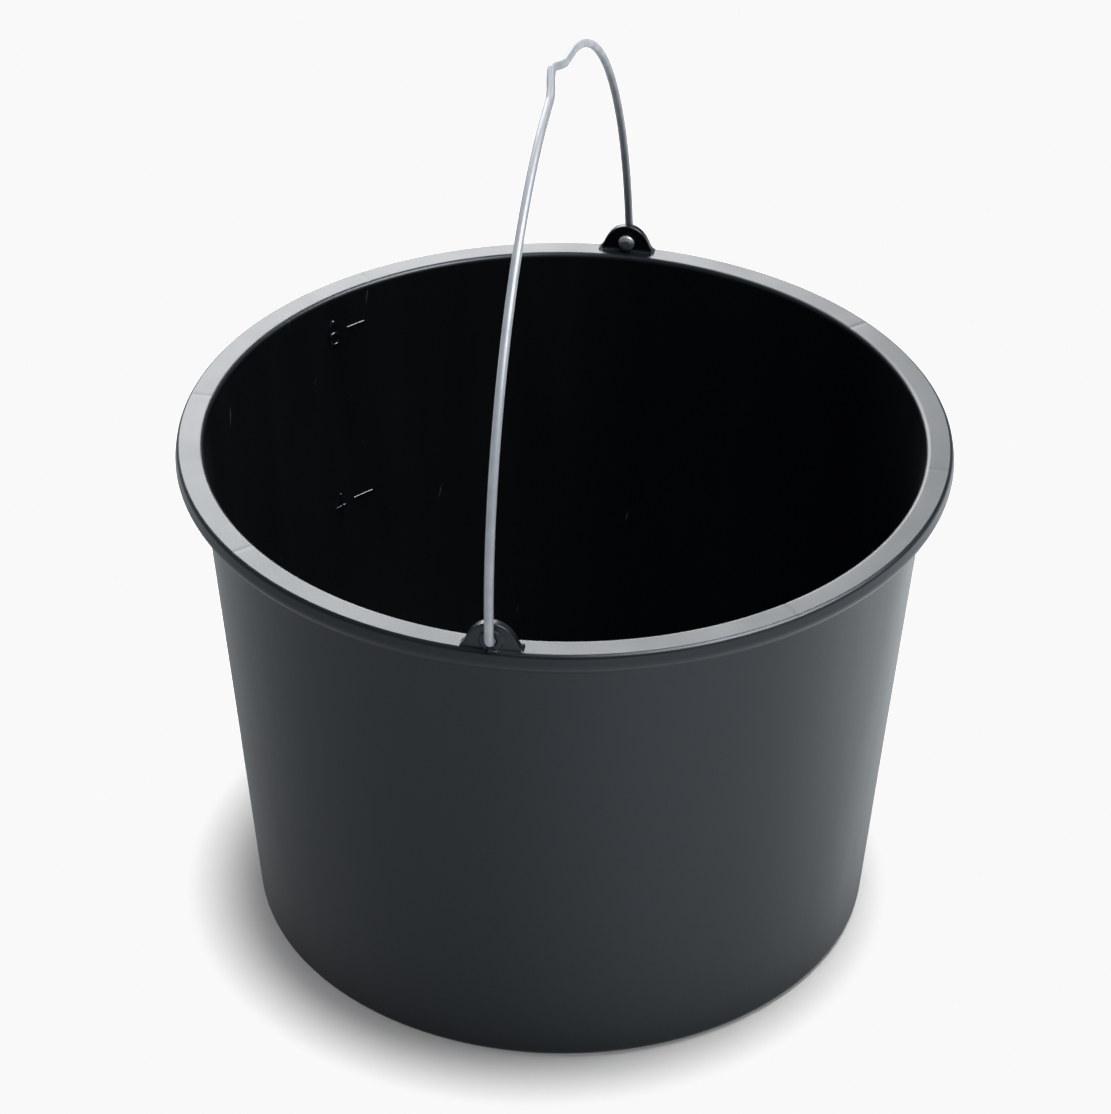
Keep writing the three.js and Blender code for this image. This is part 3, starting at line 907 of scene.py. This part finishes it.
def rubbed_marks_group():
    """Thin rubbed lines inside the wall, as a mask.

    The surface is unrolled to arc length and height. Noise stretched along a slightly slanting
    direction is cut off high, so that only short thin lines stay, and a slow noise keeps them in
    patches. The mask is 0 outside the wall's inner side.
    """
    tree, given, made = group("rubbed_marks", ["Middle Radius", "Taper", "Patch"], ["Mask"])
    slant = 0.22
    arc_radius = 0.12
    across_scale, upright_scale = 900.0, 70.0
    line_level, line_contrast = 0.735, 22.0
    patch_scale, patch_contrast = 22.0, 9.0
    side_contrast = 2500.0
    place = object_place(tree)
    axes = node(tree, "SeparateXYZ", {0: place}).outputs
    turn = maths(tree, "ARCTAN2", axes["Y"], axes["X"])
    squares = [maths(tree, "POWER", axes[axis], 2.0) for axis in "XY"]
    radius = maths(tree, "SQRT", maths(tree, "ADD", *squares))
    along = maths(tree, "MULTIPLY_ADD", axes["Z"], slant, product(tree, turn, arc_radius))
    across = product(tree, along, across_scale)
    upright = product(tree, axes["Z"], upright_scale)
    unrolled = node(tree, "CombineXYZ", {"X": across, "Y": upright}).outputs[0]
    lines = above(tree, noise(tree, unrolled, 1.0, 1.0, 0.4), line_level, line_contrast)
    patches = above(tree, noise(tree, place, patch_scale, 1.0), given["Patch"], patch_contrast)
    wall = maths(tree, "MULTIPLY_ADD", axes["Z"], given["Taper"], given["Middle Radius"])
    inside = above(tree, wall, radius, side_contrast)
    tree.links.new(product(tree, lines, patches, inside), made["Mask"])


def grouped(tree, name, values):
    """Places a node group with its own values and returns its outputs."""
    made = tree.nodes.new("ShaderNodeGroup")
    made.node_tree = bpy.data.node_groups[name]
    fill(tree, made, values)
    return made.outputs


def bump(tree, height, strength):
    """The normal of a bump of up to a tenth of a millimetre."""
    inputs = {"Strength": strength, "Distance": 0.0001, "Height": height}
    return node(tree, "Bump", inputs).outputs[0]


def new_material(name):
    """Makes a node material and returns its tree and its Principled BSDF."""
    material = bpy.data.materials.new(name)
    material.use_nodes = True
    tree = material.node_tree
    return tree, tree.nodes["Principled BSDF"]


def black_plastic(name, roughness, reflection, grain):
    """Black polypropylene: a skin with fine grain, pale flow marks and a few rubbed lines."""
    finish = bpy.context.scene.plastic
    sizes = bpy.context.scene.moulding
    middle = sizes.base - sizes.wall / 2
    taper = (sizes.neck - sizes.base) / (sizes.height - sizes.plate)
    refraction = 1.49
    tree, shader = new_material(name)
    skin = grouped(tree, "moulded_skin", {"Grain Scale": finish.grain_scale})
    wall = {"Middle Radius": middle, "Taper": taper, "Patch": finish.scuff_level}
    marks = grouped(tree, "rubbed_marks", wall)
    body = blended(tree, product(tree, skin["Flow"], finish.flow), finish.base, finish.bloom)
    gloss = maths(tree, "MULTIPLY_ADD", skin["Flow"], finish.flow_roughness, roughness)
    look = {
        "Base Color": blended(tree, marks["Mask"], body, finish.scuff),
        "Roughness": maths(tree, "MULTIPLY_ADD", marks["Mask"], finish.scuff_roughness, gloss),
        "Normal": bump(tree, skin["Height"], grain),
        "IOR": refraction,
        "Specular IOR Level": reflection,
        "Specular Tint": (*finish.sheen, 1),
    }
    fill(tree, shader, look)


def galvanised_zinc():
    """Drawn wire with a thin bright zinc coat: fine unevenness and duller patches."""
    finish = bpy.context.scene.zinc
    patch_scale, fine_scale = 160.0, 2600.0
    contrast, shift = 2.2, -0.75
    patch_height = 1.5
    tree, shader = new_material("drawn_zinc")
    place = object_place(tree)
    patches = noise(tree, place, patch_scale, 3.0, 0.6)
    fine = noise(tree, place, fine_scale, 2.0, 0.5)
    share = maths(tree, "MULTIPLY_ADD", patches, contrast, shift, clamp=True)
    height = maths(tree, "MULTIPLY_ADD", patches, patch_height, fine)
    look = {
        "Base Color": blended(tree, share, finish.bright, finish.dull),
        "Roughness": maths(tree, "MULTIPLY_ADD", share, finish.dull_roughness, finish.roughness),
        "Normal": bump(tree, height, finish.bump),
        "Metallic": finish.metal,
    }
    fill(tree, shader, look)


def pale_floor():
    """A plain matt floor with a trace of tone."""
    settings = bpy.context.scene.stage
    tone_scale, tone_share, tone_step = 3.0, 0.02, 0.01
    tree, shader = new_material("pale_floor")
    place = object_place(tree)
    tone = product(tree, noise(tree, place, tone_scale), tone_share)
    pale = tuple(min(value + tone_step, 1) for value in settings.floor)
    floor = blended(tree, tone, settings.floor, pale)
    fill(tree, shader, {"Base Color": floor, "Roughness": 0.9, "Specular IOR Level": 0.2})


def reflected_floor():
    """A glowing floor for reflections, brighter to the right and away from the bucket.

    Its radiance is a mean plus a sine of the azimuth, plus a bell curve of the azimuth, all times a
    share that rises evenly between two radii. Near the base it falls off as an exponential does,
    where the bucket shades the floor.
    """
    stage = bpy.context.scene.stage
    tree, shader = new_material("reflected_floor")
    place = object_place(tree)
    to_right = math.pi / 2 - stage.azimuth
    turning = {"Vector": place, "Angle": to_right}
    ahead = node(tree, "VectorRotate", turning, rotation_type="Z_AXIS").outputs[0]
    axes = node(tree, "SeparateXYZ", {0: ahead}).outputs
    azimuth = maths(tree, "ARCTAN2", axes["Y"], axes["X"])
    side = maths(tree, "MULTIPLY_ADD", maths(tree, "SINE", azimuth), stage.floor_side, stage.floor_mean)
    narrow = 1 / stage.glow_width
    apart = maths(tree, "MULTIPLY_ADD", azimuth, narrow, -stage.glow_azimuth * narrow)
    bell = maths(tree, "EXPONENT", product(tree, apart, apart, -1.0))
    round_it = maths(tree, "MULTIPLY_ADD", bell, stage.floor_glow, side)
    radius = node(tree, "VectorMath", {0: ahead}, operation="LENGTH").outputs["Value"]
    reach = {1: stage.near_radius, 2: stage.far_radius, 3: stage.floor_near, 4: stage.floor_away}
    away = node(tree, "MapRange", {"Value": radius, **reach}).outputs[0]
    steep = 1 / stage.shade_reach
    past_base = maths(tree, "MULTIPLY_ADD", radius, -steep, stage.shade_start * steep)
    shade = maths(tree, "MULTIPLY_ADD", maths(tree, "EXPONENT", past_base), -stage.shade, 1.0)
    strength = product(tree, round_it, away, shade)
    look = {
        "Base Color": (0, 0, 0, 1),
        "Specular IOR Level": 0,
        "Emission Color": (*stage.floor_tint, 1),
        "Emission Strength": strength,
    }
    fill(tree, shader, look)


# ---- Stage ----


def toward(azimuth, elevation):
    """A unit vector at an azimuth, counted to the right from straight ahead of the camera, and at
    an elevation above the floor."""
    turn = bpy.context.scene.stage.azimuth - azimuth
    level = math.cos(elevation)
    return Vector((-level * math.sin(turn), level * math.cos(turn), math.sin(elevation)))


def placed(name, data):
    """Makes an object of a mesh, a light or a camera in the scene."""
    holder = bpy.data.objects.new(name, data)
    bpy.context.scene.collection.objects.link(holder)
    return holder


def softbox(name, azimuth, elevation, width, radiance):
    """A large rectangular light that only reflections see, placed round the object by angles."""
    settings = bpy.context.scene.stage
    place = settings.box_distance * toward(azimuth, elevation)
    light = bpy.data.lights.new(name, "AREA")
    light.shape = "RECTANGLE"
    light.size, light.size_y = width, settings.box_height
    light.energy = radiance * math.pi * width * settings.box_height
    holder = placed(name, light)
    holder.visible_diffuse = False
    holder.location = place + Vector((0, 0, settings.box_lift))
    holder.rotation_euler = (-place).to_track_quat("-Z", "Y").to_euler()


def overhead_light(name, strength, softness, shadow):
    """Parallel light from nearly straight above that reflections do not see."""
    settings = bpy.context.scene.stage
    light = bpy.data.lights.new(name, "SUN")
    light.energy = strength
    light.angle = softness
    light.use_shadow = shadow
    holder = placed(name, light)
    holder.visible_glossy = False
    from_there = toward(settings.overhead_azimuth, math.pi / 2 - settings.overhead_tilt)
    holder.rotation_euler = (-from_there).to_track_quat("-Z", "Y").to_euler()


def flat_square(name, level, material):
    """A horizontal square round the Z axis."""
    half = 6.0
    corners = [(x * half, y * half, level) for x, y in ((-1, -1), (1, -1), (1, 1), (-1, 1))]
    mesh = bpy.data.meshes.new(name)
    mesh.from_pydata(corners, [], [(0, 1, 2, 3)])
    mesh.materials.append(bpy.data.materials[material])
    square = placed(name, mesh)
    return square


def make_floor():
    """A wide pale floor just under the base, and over it a glowing sheet that only reflections see."""
    flat_square("floor", -0.0002, "pale_floor")
    sheet = flat_square("reflected_floor", -0.0001, "reflected_floor")
    sheet.visible_camera = False
    sheet.visible_diffuse = False
    sheet.visible_shadow = False


def make_lights():
    """Soft light from nearly overhead, two large softboxes for the reflections, and a dim world."""
    settings = bpy.context.scene.stage
    overhead_light("overhead", settings.overhead, settings.softness, True)
    overhead_light("fill", settings.fill, settings.softness, False)
    for name in ("back", "right"):
        angles = getattr(settings, name + "_azimuth"), getattr(settings, name + "_elevation")
        softbox(name + "_softbox", *angles, getattr(settings, name + "_width"), getattr(settings, name))
    world = bpy.data.worlds.new("studio")
    world.use_nodes = True
    look = {"Color": (*settings.world_tint, 1), "Strength": settings.world}
    fill(world.node_tree, world.node_tree.nodes["Background"], look)
    bpy.context.scene.world = world


def make_tones():
    """Plain tones, with a paper white a little below full white."""
    view = bpy.context.scene.view_settings
    view.view_transform = "Standard"
    view.use_curve_mapping = True
    all_channels = 3
    curve = view.curve_mapping.curves[all_channels]
    curve.points[-1].location = (1.0, PAPER_WHITE)
    knee = PAPER_WHITE - 0.06
    curve.points.new(knee, knee)
    view.curve_mapping.extend = "HORIZONTAL"
    view.curve_mapping.update()


def make_camera():
    """A long-lens camera that looks down at the bucket from the front."""
    settings = bpy.context.scene.stage
    back = toward(math.pi, settings.elevation)
    right = Vector((math.cos(settings.azimuth), math.sin(settings.azimuth), 0))
    aim = right * settings.aim_side + Vector((0, 0, settings.aim_height))
    data = bpy.data.cameras.new("camera")
    data.lens = settings.lens
    data.sensor_width = 36.0
    data.clip_start, data.clip_end = 0.05, 30.0
    camera = placed("camera", data)
    camera.location = aim + back * settings.distance
    facing = (-back).to_track_quat("-Z", "Y")
    camera.rotation_mode = "QUATERNION"
    camera.rotation_quaternion = facing @ Quaternion((0, 0, 1), settings.roll)
    bpy.context.scene.camera = camera


# ---- Operators ----


class BUCKET_OT_finishes(Operator):
    """Makes the node groups and the materials"""

    bl_idname = "bucket.finishes"
    bl_label = "Finishes"

    def execute(self, context):
        moulded_skin_group()
        rubbed_marks_group()
        skin = context.scene.plastic
        satin = skin.roughness, skin.reflection, skin.grain
        polished = skin.mark_roughness, skin.mark_reflection, skin.mark_grain
        black_plastic("satin_black_plastic", *satin)
        black_plastic("polished_black_plastic", *polished)
        galvanised_zinc()
        pale_floor()
        reflected_floor()
        return {"FINISHED"}


class BUCKET_OT_shell(Operator):
    """Makes the wall, the floor and the rim as one turned surface"""

    bl_idname = "bucket.shell"
    bl_label = "Wall, floor and rim"

    def execute(self, context):
        make_moulding("bucket_shell", [shell_mesh()], replaced="bucket")
        return {"FINISHED"}


class BUCKET_OT_ribs(Operator):
    """Makes the ribs under the rim"""

    bl_idname = "bucket.ribs"
    bl_label = "Ribs under the rim"

    def execute(self, context):
        make_moulding("rim_ribs", rim_rib_parts())
        return {"FINISHED"}


class BUCKET_OT_ears(Operator):
    """Makes the two ears with their bosses, holes and gussets"""

    bl_idname = "bucket.ears"
    bl_label = "Ears"

    def execute(self, context):
        for name, angle in (("ear_far", 0.0), ("ear_near", math.pi)):
            make_moulding(name, ear_parts(angle))
        return {"FINISHED"}


class BUCKET_OT_scale(Operator):
    """Makes the raised ticks and digits inside the wall"""

    bl_idname = "bucket.scale_marks"
    bl_label = "Raised scale"

    def execute(self, context):
        make_moulding("scale_marks", scale_parts(), finish="polished_black_plastic")
        return {"FINISHED"}


class BUCKET_OT_bail(Operator):
    """Makes the wire bail and its two domed heads"""

    bl_idname = "bucket.bail"
    bl_label = "Wire bail"

    def execute(self, context):
        parts = [bail_mesh(), head_mesh(1), head_mesh(-1)]
        make_piece("wire_bail", parts, "drawn_zinc", "bail", "bail")
        return {"FINISHED"}


class BUCKET_OT_stage(Operator):
    """Makes the floor, the soft studio light and the camera"""

    bl_idname = "bucket.stage"
    bl_label = "Floor, light and camera"

    def execute(self, context):
        make_floor()
        make_lights()
        make_tones()
        make_camera()
        return {"FINISHED"}


class BUCKET_PT_panel(Panel):
    """Lists the pieces of the bucket"""

    bl_label = "Moulded bucket"
    bl_space_type = "VIEW_3D"
    bl_region_type = "UI"
    bl_category = "Bucket"

    def draw(self, context):
        for step in STEPS:
            self.layout.operator(step.bl_idname)


STEPS = (
    BUCKET_OT_finishes,
    BUCKET_OT_shell,
    BUCKET_OT_ribs,
    BUCKET_OT_ears,
    BUCKET_OT_scale,
    BUCKET_OT_bail,
    BUCKET_OT_stage,
)
SETTINGS = {
    "moulding": MouldingSizes,
    "ribs": RibSizes,
    "ear": EarSizes,
    "scale_marks": ScaleSizes,
    "bail": BailSizes,
    "plastic": PlasticFinish,
    "zinc": ZincFinish,
    "stage": StageSettings,
}


def register():
    """Registers the settings, the operators and the panel."""
    for name, kind in SETTINGS.items():
        bpy.utils.register_class(kind)
        setattr(bpy.types.Scene, name, PointerProperty(type=kind))
    for kind in (*STEPS, BUCKET_PT_panel):
        bpy.utils.register_class(kind)


def unregister():
    """Takes back what register did."""
    for kind in (*STEPS, BUCKET_PT_panel):
        bpy.utils.unregister_class(kind)
    for name, kind in SETTINGS.items():
        delattr(bpy.types.Scene, name)
        bpy.utils.unregister_class(kind)


def main():
    """Makes every piece in order."""
    register()
    bpy.ops.bucket.finishes()
    bpy.ops.bucket.shell()
    bpy.ops.bucket.ribs()
    bpy.ops.bucket.ears()
    bpy.ops.bucket.scale_marks()
    bpy.ops.bucket.bail()
    bpy.ops.bucket.stage()


if __name__ == "__main__":
    main()
